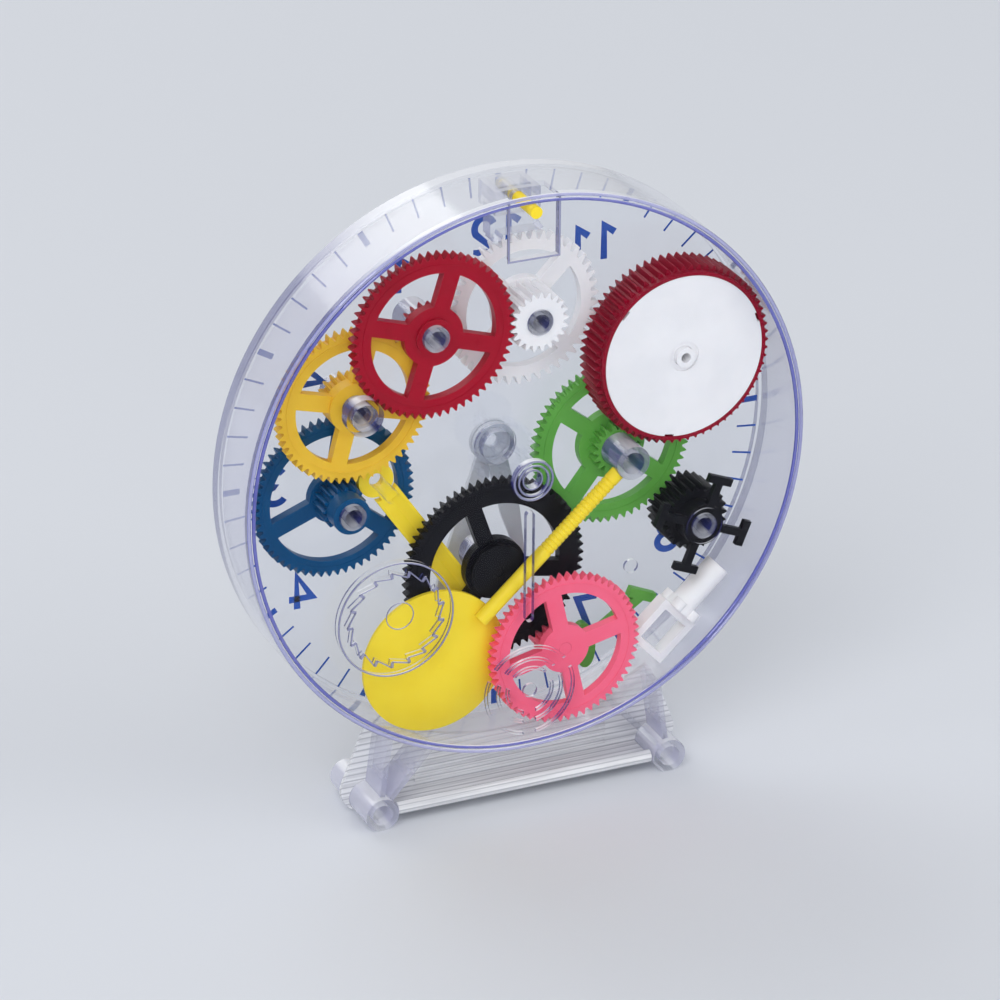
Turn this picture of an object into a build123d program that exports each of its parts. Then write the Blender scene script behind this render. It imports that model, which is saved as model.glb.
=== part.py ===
"""See-through demonstration clock: a clear drum on two feet with coloured gears, millimetres.

The dial faces -Y and the flat back faces +Y. Depth is measured from the back face towards the dial,
and every place across the clock is measured from the dial's centre.
"""

import os
from math import acos, atan2, cos, degrees, hypot, pi, radians, sin, tan

from build123d import *

os.makedirs("parts", exist_ok=True)

# Case
DRUM_RADIUS = 87.5
DRUM_WALL = 1.6
CASE_DEPTH = 25.0
BACK_THICKNESS = 1.8
DIAL_THICKNESS = 2.0
FRONT_RIM_HEIGHT = 2.0
FRONT_RIM_WIDTH = 2.0


def across(size):
    """A size across the clock, given for a drum of radius 87.5, that follows the drum's own radius."""
    return size * DRUM_RADIUS / 87.5


# Feet and apron
FOOT_RADIUS = 5.2
FOOT_RECESS_RADIUS = 3.2
FOOT_RECESS_DEPTH = 4.0
FOOT_FLAT = 0.2
FOOT_SPREAD = 93.0
FOOT_CLEARANCE = 12.8
FOOT_LENGTH = 28.0
FOOT_RIB_SPLAY = 17.0
FOOT_RIB_THICKNESS = 1.6
APRON_DEPTH = 13.2
APRON_THICKNESS = 1.6
APRON_BOTTOM_WIDTH = 115.0
APRON_TOP_WIDTH = 90.0
APRON_OVERLAP = 13.5
APRON_CORNER = 7.0
APRON_LIFT = 0.4
APRON_RIB_COUNT = 4
APRON_RIB_RADIUS = 0.6
APRON_RIB_PITCH = 1.9
APRON_RIB_WIDTH = 62.0
APRON_BAR_RADIUS = 1.9
APRON_BAR_DEPTH = 2.7
TOE_THICKNESS = 1.4

# Clearances
RUNNING_CLEARANCE = 0.08
END_SHAKE = 0.3
SEAT_GAP = 0.3
FACE_MARGIN = 0.2

# Gear teeth
MODULE = across(0.8)
PRESSURE_ANGLE = 25.0
ADDENDUM = 0.9
DEDENDUM = 1.2
BACKLASH = 0.22
RIM_WIDTH = across(5.2)
BLACK_RIM_WIDTH = across(7.0)
BLUE_RIM_WIDTH = across(4.2)
SPOKE_WIDTH = across(5.0)
HUB_RADIUS = across(7.6)

# Spokes of each wheel: how many, and which way the first one points
BLUE_SPOKES = (3, 99.0)
YELLOW_SPOKES = (4, 15.0)
RED_SPOKES = (4, 17.0)
ESCAPE_SPOKES = (4, 45.0)
GREEN_SPOKES = (4, 38.0)
BLACK_SPOKES = (3, 71.0)
PINK_SPOKES = (4, 77.0)

# Tooth counts
BARREL_TEETH = 68
GREEN_TEETH = 61
GREEN_PINION_TEETH = 18
WINDER_TEETH = 24
CENTRE_TEETH = 23
CANNON_TEETH = 12
BLACK_TEETH = 69
PINK_TEETH = 58
PINK_PINION_TEETH = 14
RED_TEETH = 61
RED_PINION_TEETH = 18
YELLOW_TEETH = 57
YELLOW_PINION_TEETH = 17
BLUE_TEETH = 60
BLUE_PINION_TEETH = 15
WHITE_PINION_TEETH = 21
ESCAPE_TEETH = 45
ESCAPE_RADIUS = across(23.6)
ESCAPE_TOOTH_HEIGHT = across(2.4)
ESCAPE_TOOTH = ((0.0, 1.0), (0.22, 1.0), (0.6, 0.0), (0.9, 0.0))
ESCAPE_RIM_WIDTH = across(3.2)
ESCAPE_HUB_RADIUS = across(9.6)
GREEN_HUB_RADIUS = across(10.6)
BLACK_HUB_RADIUS = across(9.5)
BLACK_CAP_RADIUS = across(8.2)
BLACK_DIMPLE_RADIUS = across(2.0)
BLUE_HUB_RADIUS = across(5.6)
RED_HUB_RADIUS = across(9.0)

# Motion work behind the dial
MOTION_MODULE = across(0.5)
MOTION_CANNON_TEETH = 12
MINUTE_WHEEL_TEETH = 36
MINUTE_PINION_TEETH = 10
HOUR_WHEEL_TEETH = 40

# Where each axis lies, seen from the dial side: red by its place, the others by their direction
RED_RIGHT = across(28.0)
RED_UP = across(46.8)
WHITE_FROM_RED = 181.8
YELLOW_FROM_RED = -40.8
BLUE_FROM_YELLOW = -83.5
GREEN_FROM_CENTRE = 183.9
BARREL_FROM_GREEN = 119.1
WINDER_FROM_GREEN = 226.2
BLACK_FROM_CENTRE = -77.7
PINK_FROM_BLACK = 233.9
MINUTE_FROM_CENTRE = 60.0

# Depths of the gear levels, each given by its face nearest the back
GEAR_FACE = 3.0
LEVEL_ONE = 16.8
YELLOW_LEVEL = 10.5
RED_LEVEL = 5.8
BLACK_LEVEL = 9.5
PINK_LEVEL = 2.2
PINK_FACE = 2.7
MOTION_LEVEL = 20.3
MOTION_FACE = 1.2
BLUE_PINION_LEVEL = 9.0
BLUE_HUB_LEVEL = 3.5
YELLOW_HUB_LEVEL = 9.4
RED_HUB_LEVEL = 4.9
GREEN_PINION_LEVEL = 12.8
BLACK_HUB_LEVEL = 7.3
BLACK_HUB_STEP = 9.3
BLACK_HUB_FLOOR = 1.3
BLACK_DIMPLE_DEPTH = 0.4

# Posts
POST_RADIUS = across(3.9)
POST_BORE = across(2.6)
POST_FOOT_RADIUS = across(5.6)
GREEN_TUBE_RADIUS = across(5.2)
GREEN_TUBE_BORE = across(3.4)
PINK_POST_RADIUS = across(1.9)
BARREL_POST_RADIUS = across(3.0)
BARREL_POST_BORE = across(1.5)
MINUTE_POST_RADIUS = across(1.2)

# Depth at which each post ends, next to the back plate
BLUE_POST_END = 2.2
YELLOW_POST_END = 3.9
RED_POST_END = 3.4
ESCAPE_POST_END = 5.0
WINDER_POST_END = 2.2
GREEN_TUBE_END = 2.0
BARREL_POST_END = 3.2

# Spring barrel
BARREL_LEVEL = 4.4
BARREL_FACE = 11.8
BARREL_RIM_HEIGHT = 1.6
BARREL_COVER_RADIUS = across(25.0)
BARREL_COVER_THICKNESS = 1.5
BARREL_FLOOR = 1.5
BARREL_LEDGE = 1.0
COVER_NOTCH_DEPTH = across(1.2)
COVER_NOTCH_WIDTH = across(3.0)
COVER_NOTCH_COUNT = 3
COVER_NOTCH_DIRECTION = 40.0
COVER_RECESS_RADIUS = across(4.6)
COVER_RECESS_DEPTH = 0.5
SPRING_THICKNESS = across(0.6)
SPRING_HALF_TURNS = 21
SPRING_PITCH = across(1.6)

# Hands, pointing as at twenty-seven minutes past six
HOUR_HAND_LENGTH = across(40.0)
MINUTE_HAND_LENGTH = across(70.0)
HAND_WIDTH = across(6.0)
HAND_THICKNESS = 1.4
HAND_HUB_RADIUS = across(6.5)
HAND_MINUTES = 27.0
HAND_HOUR = 6.0
HOUR_PIPE_RADIUS = across(5.0)
HAND_TIP_WIDTH = across(2.0)
HAND_SHOULDER = 0.6
ARBOR_BACK_RADIUS = across(2.6)
ARBOR_FRONT_RADIUS = across(2.0)

# Pendulum, put away inside the drum with its rod against the green gear's clear tube
BOB_RADIUS = across(22.4)
BOB_DIRECTION = -64.9
BOB_LEVEL = 3.4
BOB_EDGE = 1.2
BOB_DOME = 4.4
ROD_RADIUS = 2.2
ROD_DEPTH = 4.85
ROD_GROOVE = 0.25
ROD_GROOVE_COUNT = 19
ROD_GROOVE_PITCH = across(1.5)
ROD_SOCKET = across(4.5)
ROD_PLAIN = across(3.0)

# Anchor at the top
PIN_RADIUS = 1.8
PIN_INSET = 4.7
PIN_PROUD = 1.7
NOTCH_WIDTH = 15.0
NOTCH_HEIGHT = 18.8
NOTCH_DEPTH = 10.0
ANCHOR_LEVEL = 14.4
ANCHOR_FACE = 5.2
ANCHOR_HUB_RADIUS = 2.6
ANCHOR_ARM_WIDTH = 2.6
ANCHOR_WIDTH = 14.0
ANCHOR_TOP_DROP = 3.0
ANCHOR_BOTTOM_DROP = 12.4
ANCHOR_NECK_WIDTH = 4.0
PALLET_SPREAD = 16.0
PALLET_CLEARANCE = 1.2
BRACKET_LEVEL = 11.0
BRACKET_WIDTH = 14.0
BRACKET_WALL = 2.0
BRACKET_DROP = 4.7
BRACKET_SIDE_DROP = 1.6

# Winding pinion arms
WINDER_ARM_LEVEL = 2.6
WINDER_ARM_FACE = 1.8
WINDER_ARM_REACH = across(15.5)
WINDER_ARM_WIDTH = across(2.4)
WINDER_TEE_LENGTH = across(8.0)
WINDER_ARM_DIRECTION = 112.0
WINDER_ARM_COUNT = 4
WINDER_PINION_LEVEL = 8.0
WINDER_NECK_RADIUS = across(6.4)

# Pendulum hanger, hung up on a clear peg of the back plate
HANGER_RIGHT = across(42.4)
HANGER_UP = across(1.2)
HANGER_DIRECTION = -124.4
HANGER_LENGTH = across(52.0)
HANGER_WIDTH = across(7.6)
HANGER_LEVEL = 14.0
HANGER_THICKNESS = 2.3
HANGER_GROOVE = 1.0
HANGER_LOOP_RADIUS = across(5.4)
HANGER_LOOP_BORE = across(2.2)
HANGER_LOOP_WALL = across(1.6)
HANGER_NECK_LENGTH = across(3.0)
HANGER_NECK_WIDTH = across(4.4)

# Winding key, laid in the bottom of the drum
KEY_CORNER_DIRECTION = 237.6
KEY_DIRECTION = -43.3
KEY_MID_DEPTH = 8.9
KEY_TUBE_RADIUS = 4.0
KEY_TUBE_LENGTH = across(15.0)
KEY_SOCKET_SIDE = 4.2
KEY_SOCKET_DEPTH = across(11.0)
KEY_FLANGE_RADIUS = 4.6
KEY_LOBE_RADIUS = 2.0
KEY_LOBE_COUNT = 4
KEY_LOBE_DIRECTION = 45.0
KEY_FLANGE_THICKNESS = 3.0
KEY_BOW_WIDTH = across(14.3)
KEY_BOW_LENGTH = across(15.5)
KEY_BOW_THICKNESS = 4.6
KEY_BOW_WALL = 2.3

# Crutch, laid flat on the dial
CRUTCH_THICKNESS = 2.6
CRUTCH_RIGHT = across(-46.4)
CRUTCH_UP = across(-56.1)
CRUTCH_DIRECTION = -34.3
CRUTCH_BAR_LENGTH = across(9.0)
CRUTCH_BAR_WIDTH = across(3.0)
CRUTCH_BAR_TILT = -32.0
CRUTCH_STEM_LENGTH = across(22.9)
CRUTCH_STEM_WIDTH = across(3.0)
CRUTCH_LOBE_LENGTH = across(15.0)
CRUTCH_LOBE_WIDTH = across(7.0)
CRUTCH_LOBE_DIRECTION = 85.0

# Details moulded on the back plate
BOSS_RADIUS = across(6.4)
BOSS_RING_RADIUS = across(4.3)
BOSS_HEIGHT = 2.3
BOSS_ROUNDING = 0.8
SLOT_TOP = across(-10.7)
SLOT_BOTTOM = across(-46.2)
SLOT_WIDTH = across(2.6)
RATCHET_RIGHT = across(42.2)
RATCHET_UP = across(-37.0)
RATCHET_RADIUS = across(18.0)
RATCHET_ROOT = across(15.2)
RATCHET_TIP = across(13.4)
RATCHET_TEETH = 17
RATCHET_HEIGHT = 0.7
ARC_UP = across(-68.2)
ARC_RADII = (across(14.4), across(10.6), across(7.6))
ARC_WIDTH = across(0.9)
ARC_HEIGHT = 0.9
ARC_GAP_WIDTH = across(4.0)
ARC_GAP_COUNT = 3
ARC_GAP_DIRECTION = 30.0
PEG_RADIUS = across(2.2)
PEG_RIGHT = across(-32.0)
PEG_UP = across(-33.9)
SOCKET_RADIUS = across(5.7)
WINDER_SOCKET_END = 2.3
YELLOW_SOCKET_END = 5.4

# Values that follow from those above
DRUM_INNER = DRUM_RADIUS - DRUM_WALL
FOOT_DROP = DRUM_RADIUS + FOOT_CLEARANCE
APRON_TOP_DROP = DRUM_RADIUS - APRON_OVERLAP
PIN_UP = DRUM_RADIUS - PIN_INSET
NOTCH_BOTTOM = DRUM_RADIUS - NOTCH_HEIGHT
DIAL_INNER = CASE_DEPTH - DIAL_THICKNESS
CENTRE_HEIGHT = FOOT_DROP + FOOT_RADIUS - FOOT_FLAT
HOUR_HAND_LEVEL = CASE_DEPTH + FRONT_RIM_HEIGHT / 2 + END_SHAKE
MINUTE_HAND_LEVEL = HOUR_HAND_LEVEL + HAND_THICKNESS + 2 * END_SHAKE
FRONT_REACH = MINUTE_HAND_LEVEL + HAND_THICKNESS
MID_DEPTH = (FRONT_REACH - BOSS_HEIGHT) / 2


def polar(origin, direction, distance):
    """A place across the clock, so far from another in a direction given in degrees."""
    turn = radians(direction)
    return (origin[0] + distance * cos(turn), origin[1] + distance * sin(turn))


def mesh_distance(teeth_a, teeth_b, module=MODULE):
    """Centre distance of two gears in mesh."""
    return module * (teeth_a + teeth_b) / 2


def face_at(depth, place=(0, 0), turn=0):
    """A plane across the clock at a depth, centred on a place, turned by degrees, that faces the dial."""
    origin = (place[0], MID_DEPTH - depth, CENTRE_HEIGHT + place[1])
    return Plane(origin=origin, x_dir=(cos(radians(turn)), 0, sin(radians(turn))), z_dir=(0, -1, 0))


def meshing_phase(phase, teeth, direction, other_teeth):
    """Turn of a gear whose gap takes the tooth of a gear that lies behind it along the direction."""
    return direction + 180 + 180 / other_teeth - (phase - direction) * teeth / other_teeth


CENTRE = (0.0, 0.0)
RED = (RED_RIGHT, RED_UP)
WHITE = polar(RED, WHITE_FROM_RED, mesh_distance(RED_TEETH, WHITE_PINION_TEETH))
YELLOW = polar(RED, YELLOW_FROM_RED, mesh_distance(YELLOW_TEETH, RED_PINION_TEETH))
BLUE = polar(YELLOW, BLUE_FROM_YELLOW, mesh_distance(BLUE_TEETH, YELLOW_PINION_TEETH))
GREEN = polar(CENTRE, GREEN_FROM_CENTRE, mesh_distance(GREEN_TEETH, CENTRE_TEETH))
BARREL = polar(GREEN, BARREL_FROM_GREEN, mesh_distance(BARREL_TEETH, GREEN_PINION_TEETH))
WINDER = polar(GREEN, WINDER_FROM_GREEN, mesh_distance(GREEN_TEETH, WINDER_TEETH))
BLACK = polar(CENTRE, BLACK_FROM_CENTRE, mesh_distance(CANNON_TEETH, BLACK_TEETH))
PINK = polar(BLACK, PINK_FROM_BLACK, mesh_distance(BLACK_TEETH, PINK_PINION_TEETH))
MOTION_DISTANCE = mesh_distance(MOTION_CANNON_TEETH, MINUTE_WHEEL_TEETH, MOTION_MODULE)
MINUTE = polar(CENTRE, MINUTE_FROM_CENTRE, MOTION_DISTANCE)
HOUR_MODULE = 2 * MOTION_DISTANCE / (MINUTE_PINION_TEETH + HOUR_WHEEL_TEETH)
BOB = polar(CENTRE, BOB_DIRECTION, DRUM_INNER - BOB_RADIUS - SEAT_GAP)
PIN = (0.0, PIN_UP)


def involute(angle):
    """Involute function of a pressure angle in radians."""
    return tan(angle) - angle


def tooth_flank(teeth, module):
    """Radii along a tooth's flank, root to tip, each with its half angle from the tooth's middle."""
    pitch = module * teeth / 2
    base = pitch * cos(radians(PRESSURE_ANGLE))
    root = pitch - DEDENDUM * module
    tip = pitch + ADDENDUM * module
    half = (pi * module / 2 - BACKLASH * module / MODULE) / (2 * pitch)
    start = max(base, root)
    radii = [start, (start + tip) / 2, tip]
    flank = []
    for radius in radii:
        angle = half + involute(radians(PRESSURE_ANGLE)) - involute(acos(min(1.0, base / radius)))
        flank.append((radius, angle))
    if root < base:
        flank.insert(0, (root, flank[0][1]))
    return flank


def tooth_ring(teeth, phase, module=MODULE):
    """Closed outline of an involute gear: two flank arcs, a tip and a root to each tooth."""
    flank = tooth_flank(teeth, module)
    step = 360 / teeth

    def at(radius, angle):
        return (radius * cos(angle), radius * sin(angle))

    middle = radians(phase)
    rise = [at(radius, middle - angle) for radius, angle in flank]
    fall = [at(radius, middle + angle) for radius, angle in reversed(flank)]
    following = at(flank[0][0], middle + radians(step) - flank[0][1])
    with BuildLine() as tooth:
        if len(flank) > 3:
            Line(rise[0], rise[1])
        ThreePointArc(*rise[-3:])
        Line(rise[-1], fall[0])
        ThreePointArc(*fall[:3])
        if len(flank) > 3:
            Line(fall[2], fall[3])
        Line(fall[-1], following)
    return [edge.rotate(Axis.Z, copy * step) for copy in range(teeth) for edge in tooth.edges()]


def toothed(place, teeth, near, far, phase, module=MODULE, bore=0, windows=None):
    """Adds a toothed cylinder between two depths, with its bore and the windows between its spokes."""
    with BuildSketch(face_at(near, place)) as profile:
        make_face(tooth_ring(teeth, phase, module))
        if bore:
            Circle(bore, mode=Mode.SUBTRACT)
        if windows:
            add(spoke_windows(*windows), mode=Mode.SUBTRACT)
    extrude(profile.sketch, amount=far - near)


def tube(place, radius, bore, near, far):
    """Adds a plain hollow cylinder between two depths."""
    with BuildSketch(face_at(near, place)) as profile:
        Circle(radius)
        Circle(bore, mode=Mode.SUBTRACT)
    extrude(profile.sketch, amount=far - near)


def round_bar(place, radius, near, far, mode=Mode.ADD):
    """Adds or cuts a plain cylinder between two depths."""
    with BuildSketch(face_at(near, place)) as profile:
        Circle(radius)
    extrude(profile.sketch, amount=far - near, mode=mode)


def spoke_windows(rim, hub, spokes, turn):
    """Outline of the openings between a wheel's spokes."""
    with BuildSketch() as openings:
        Circle(rim)
        Circle(hub, mode=Mode.SUBTRACT)
        with PolarLocations(rim, spokes, start_angle=turn):
            Rectangle(2 * rim, SPOKE_WIDTH, mode=Mode.SUBTRACT)
    return openings.sketch


def write(builder, name):
    """Labels a finished piece and writes its file."""
    builder.part.label = name
    export_step(builder.part, f"parts/{name}.step")


def pitch_radius(teeth):
    """Pitch radius of a gear of the common module."""
    return MODULE * teeth / 2


# Turn of each toothed ring, so that every pair is in mesh
GREEN_PHASE = 0.0
GREEN_PINION_PHASE = 0.0
BARREL_PHASE = meshing_phase(GREEN_PINION_PHASE, GREEN_PINION_TEETH, BARREL_FROM_GREEN, BARREL_TEETH)
WINDER_PHASE = meshing_phase(GREEN_PHASE, GREEN_TEETH, WINDER_FROM_GREEN, WINDER_TEETH)
CENTRE_PHASE = meshing_phase(GREEN_PHASE, GREEN_TEETH, GREEN_FROM_CENTRE + 180, CENTRE_TEETH)
CANNON_PHASE = 0.0
BLACK_PHASE = meshing_phase(CANNON_PHASE, CANNON_TEETH, BLACK_FROM_CENTRE, BLACK_TEETH)
PINK_PHASE = meshing_phase(BLACK_PHASE, BLACK_TEETH, PINK_FROM_BLACK, PINK_PINION_TEETH)
MINUTE_PHASE = meshing_phase(0, MOTION_CANNON_TEETH, MINUTE_FROM_CENTRE, MINUTE_WHEEL_TEETH)
HOUR_PHASE = meshing_phase(0, MINUTE_PINION_TEETH, MINUTE_FROM_CENTRE + 180, HOUR_WHEEL_TEETH)
RED_PHASE = 0.0
RED_PINION_PHASE = 0.0
WHITE_PHASE = meshing_phase(RED_PHASE, RED_TEETH, WHITE_FROM_RED, WHITE_PINION_TEETH)
YELLOW_PHASE = meshing_phase(RED_PINION_PHASE, RED_PINION_TEETH, YELLOW_FROM_RED, YELLOW_TEETH)
YELLOW_PINION_PHASE = 0.0
BLUE_PHASE = meshing_phase(YELLOW_PINION_PHASE, YELLOW_PINION_TEETH, BLUE_FROM_YELLOW, BLUE_TEETH)

# Drum with its two feet and their ribs
FEET = [(side * FOOT_SPREAD / 2, -FOOT_DROP) for side in (-1, 1)]
with BuildPart() as drum_case:
    with BuildSketch(face_at(BACK_THICKNESS)) as wall:
        Circle(DRUM_RADIUS)
        for foot in FEET:
            inward = degrees(atan2(-foot[1], -foot[0]))
            for splay in (-FOOT_RIB_SPLAY, FOOT_RIB_SPLAY):
                rib_length = hypot(*foot) - DRUM_RADIUS + DRUM_WALL
                with Locations(polar(foot, inward + splay, rib_length / 2)):
                    Rectangle(rib_length, FOOT_RIB_THICKNESS, rotation=inward + splay)
        Circle(DRUM_INNER, mode=Mode.SUBTRACT)
        with Locations((0, -CENTRE_HEIGHT)):
            Rectangle(2 * FOOT_SPREAD, FOOT_RADIUS, align=(Align.CENTER, Align.MAX), mode=Mode.SUBTRACT)
    extrude(wall.sketch, amount=APRON_DEPTH - RUNNING_CLEARANCE - BACK_THICKNESS)
    tube(CENTRE, DRUM_RADIUS, DRUM_INNER, BACK_THICKNESS, DIAL_INNER)
    with BuildSketch(face_at(0)) as foot_ends:
        with Locations(*FEET):
            Circle(FOOT_RADIUS)
        with Locations((0, -CENTRE_HEIGHT)):
            Rectangle(2 * FOOT_SPREAD, FOOT_RADIUS, align=(Align.CENTER, Align.MAX), mode=Mode.SUBTRACT)
    extrude(foot_ends.sketch, amount=FOOT_LENGTH)
    for foot in FEET:
        round_bar(foot, FOOT_RECESS_RADIUS, 0, FOOT_RECESS_DEPTH, Mode.SUBTRACT)
    with BuildSketch(face_at(0)) as notch:
        with Locations((0, DRUM_RADIUS)):
            Rectangle(NOTCH_WIDTH, 2 * (DRUM_RADIUS - NOTCH_BOTTOM))
    extrude(notch.sketch, amount=NOTCH_DEPTH, mode=Mode.SUBTRACT)
write(drum_case, "drum_case")

# Ribbed apron under the drum: a panel on the feet, and a toe that ends in a bar
with BuildPart() as base_apron:
    with BuildSketch(face_at(APRON_DEPTH)) as panel:
        apron_low = APRON_LIFT - CENTRE_HEIGHT
        with BuildLine() as panel_line:
            right = [(APRON_BOTTOM_WIDTH / 2, apron_low), (APRON_TOP_WIDTH / 2, -APRON_TOP_DROP)]
            left = [(-APRON_TOP_WIDTH / 2, -APRON_TOP_DROP), (-APRON_BOTTOM_WIDTH / 2, apron_low)]
            Polyline(*right, *left, close=True)
        make_face()
        fillet(panel.vertices().group_by(Axis.Z)[0], APRON_CORNER)
        Circle(DRUM_RADIUS + RUNNING_CLEARANCE, mode=Mode.SUBTRACT)
        with Locations(*FEET):
            Circle(FOOT_RADIUS + RUNNING_CLEARANCE, mode=Mode.SUBTRACT)
    extrude(panel.sketch, amount=APRON_THICKNESS)
    toe_width = FOOT_SPREAD - 2 * (FOOT_RADIUS + SEAT_GAP)
    with BuildSketch(Plane.YZ.offset(-toe_width / 2)) as toe:
        bar_height = CENTRE_HEIGHT - FOOT_DROP
        with Locations((MID_DEPTH - APRON_BAR_DEPTH, bar_height)):
            Circle(APRON_BAR_RADIUS)
            Rectangle(APRON_DEPTH - APRON_BAR_DEPTH, TOE_THICKNESS, align=(Align.MAX, Align.MAX))
    extrude(toe.sketch, amount=toe_width)
    for rib in range(1, APRON_RIB_COUNT + 1):
        with BuildSketch(Plane.YZ.offset(-APRON_RIB_WIDTH / 2)) as bead:
            with Locations((MID_DEPTH - APRON_DEPTH, bar_height + rib * APRON_RIB_PITCH)):
                Circle(APRON_RIB_RADIUS)
        extrude(bead.sketch, amount=APRON_RIB_WIDTH)
write(base_apron, "base_apron")

# Flat clear back with its moulded details
with BuildPart() as back_plate:
    round_bar(CENTRE, DRUM_RADIUS, 0, BACK_THICKNESS)
    round_bar(CENTRE, BOSS_RADIUS, -BOSS_HEIGHT, 0)
    round_bar(CENTRE, BOSS_RING_RADIUS, -BOSS_HEIGHT, -BOSS_HEIGHT / 2, Mode.SUBTRACT)
    fillet(back_plate.edges().filter_by(GeomType.CIRCLE).group_by(Axis.Y)[-1], BOSS_ROUNDING)
    bearing = ARBOR_BACK_RADIUS + RUNNING_CLEARANCE
    round_bar(CENTRE, bearing, -BOSS_HEIGHT, BACK_THICKNESS, Mode.SUBTRACT)
    with BuildSketch(face_at(BACK_THICKNESS, (RATCHET_RIGHT, RATCHET_UP))) as ratchet:
        Circle(RATCHET_RADIUS)
        saw = []
        for tooth in range(RATCHET_TEETH):
            turn = 360 * tooth / RATCHET_TEETH
            saw.append(polar(CENTRE, turn, RATCHET_TIP))
            saw.append(polar(CENTRE, turn, RATCHET_ROOT))
        with BuildLine() as saw_line:
            Polyline(*saw, close=True)
        make_face(mode=Mode.SUBTRACT)
    extrude(ratchet.sketch, amount=RATCHET_HEIGHT)
    with BuildSketch(face_at(-ARC_HEIGHT, (0, ARC_UP))) as arcs:
        for radius in ARC_RADII:
            Circle(radius)
            Circle(radius - ARC_WIDTH, mode=Mode.SUBTRACT)
        with PolarLocations(ARC_RADII[1], ARC_GAP_COUNT, start_angle=ARC_GAP_DIRECTION):
            Rectangle(ARC_RADII[0], ARC_GAP_WIDTH, mode=Mode.SUBTRACT)
        Circle(PEG_RADIUS)
    extrude(arcs.sketch, amount=ARC_HEIGHT)
    round_bar((PEG_RIGHT, PEG_UP), PEG_RADIUS, -ARC_HEIGHT, 0)
    hanger_peg = HANGER_LOOP_BORE - RUNNING_CLEARANCE
    hanger = (HANGER_RIGHT, HANGER_UP)
    round_bar(hanger, hanger_peg, BACK_THICKNESS, HANGER_LEVEL + HANGER_THICKNESS)
    for post, socket_end in ((WINDER, WINDER_SOCKET_END), (YELLOW, YELLOW_SOCKET_END)):
        tube(post, SOCKET_RADIUS, POST_RADIUS + RUNNING_CLEARANCE, BACK_THICKNESS, socket_end)
    with BuildSketch(face_at(0)) as cuts:
        slot_middle = (SLOT_TOP + SLOT_BOTTOM) / 2
        with Locations((0, slot_middle)):
            SlotOverall(SLOT_TOP - SLOT_BOTTOM, SLOT_WIDTH, rotation=90)
        with Locations((0, DRUM_RADIUS)):
            Rectangle(NOTCH_WIDTH, 2 * (DRUM_RADIUS - NOTCH_BOTTOM))
    extrude(cuts.sketch, amount=BACK_THICKNESS, mode=Mode.SUBTRACT)
write(back_plate, "back_plate")

# Clear dial with its front rim and centre bush
with BuildPart() as dial_plate:
    round_bar(CENTRE, DRUM_RADIUS, DIAL_INNER, CASE_DEPTH + FRONT_RIM_HEIGHT)
    front_edge = CASE_DEPTH + FRONT_RIM_HEIGHT
    round_bar(CENTRE, DRUM_RADIUS - FRONT_RIM_WIDTH, CASE_DEPTH, front_edge, Mode.SUBTRACT)
    round_bar(CENTRE, HOUR_PIPE_RADIUS + DRUM_WALL, CASE_DEPTH, CASE_DEPTH + FRONT_RIM_HEIGHT / 2)
    pipe_hole = HOUR_PIPE_RADIUS + RUNNING_CLEARANCE
    round_bar(CENTRE, pipe_hole, DIAL_INNER, front_edge, Mode.SUBTRACT)
write(dial_plate, "dial_plate")


def stepped_post(place, end_depth, foot_depth, radius=POST_RADIUS, bore=POST_BORE):
    """Builds a hollow post that stands on the dial, with a wider foot under its gear."""
    with BuildPart() as post:
        round_bar(place, radius, end_depth, DIAL_INNER)
        round_bar(place, max(POST_FOOT_RADIUS, radius), foot_depth, DIAL_INNER)
        if bore:
            round_bar(place, bore, end_depth, foot_depth, Mode.SUBTRACT)
    return post


FIRST_FOOT = LEVEL_ONE + GEAR_FACE + END_SHAKE
RED_PINION_END = YELLOW_LEVEL + GEAR_FACE + FACE_MARGIN
BLACK_POST_END = BLACK_HUB_LEVEL + BLACK_HUB_FLOOR
PINK_PINION_END = BLACK_LEVEL + GEAR_FACE + FACE_MARGIN
POSTS = {
    "blue_post": (BLUE, BLUE_POST_END, FIRST_FOOT),
    "yellow_post": (YELLOW, YELLOW_POST_END, FIRST_FOOT),
    "red_post": (RED, RED_POST_END, RED_PINION_END + END_SHAKE),
    "escape_post": (WHITE, ESCAPE_POST_END, FIRST_FOOT),
    "winder_post": (WINDER, WINDER_POST_END, FIRST_FOOT),
    "black_post": (BLACK, BLACK_POST_END, BLACK_LEVEL + GEAR_FACE + END_SHAKE),
}
for post_name, (post_place, post_end, post_foot) in POSTS.items():
    write(stepped_post(post_place, post_end, post_foot), post_name)
green_tube = stepped_post(GREEN, GREEN_TUBE_END, FIRST_FOOT, GREEN_TUBE_RADIUS, GREEN_TUBE_BORE)
write(green_tube, "green_tube")
pink_post = stepped_post(PINK, PINK_LEVEL, PINK_PINION_END + END_SHAKE, PINK_POST_RADIUS, 0)
write(pink_post, "pink_post")
barrel_foot = BARREL_LEVEL + BARREL_FACE + END_SHAKE
barrel_arbor = stepped_post(BARREL, BARREL_POST_END, barrel_foot, BARREL_POST_RADIUS, BARREL_POST_BORE)
write(barrel_arbor, "barrel_arbor")

# Minute wheel's pin on the dial
with BuildPart() as minute_post:
    round_bar(MINUTE, MINUTE_POST_RADIUS, MOTION_LEVEL, DIAL_INNER)
write(minute_post, "minute_post")

BORE = POST_RADIUS + RUNNING_CLEARANCE
LEVEL_ONE_END = LEVEL_ONE + GEAR_FACE

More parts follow.
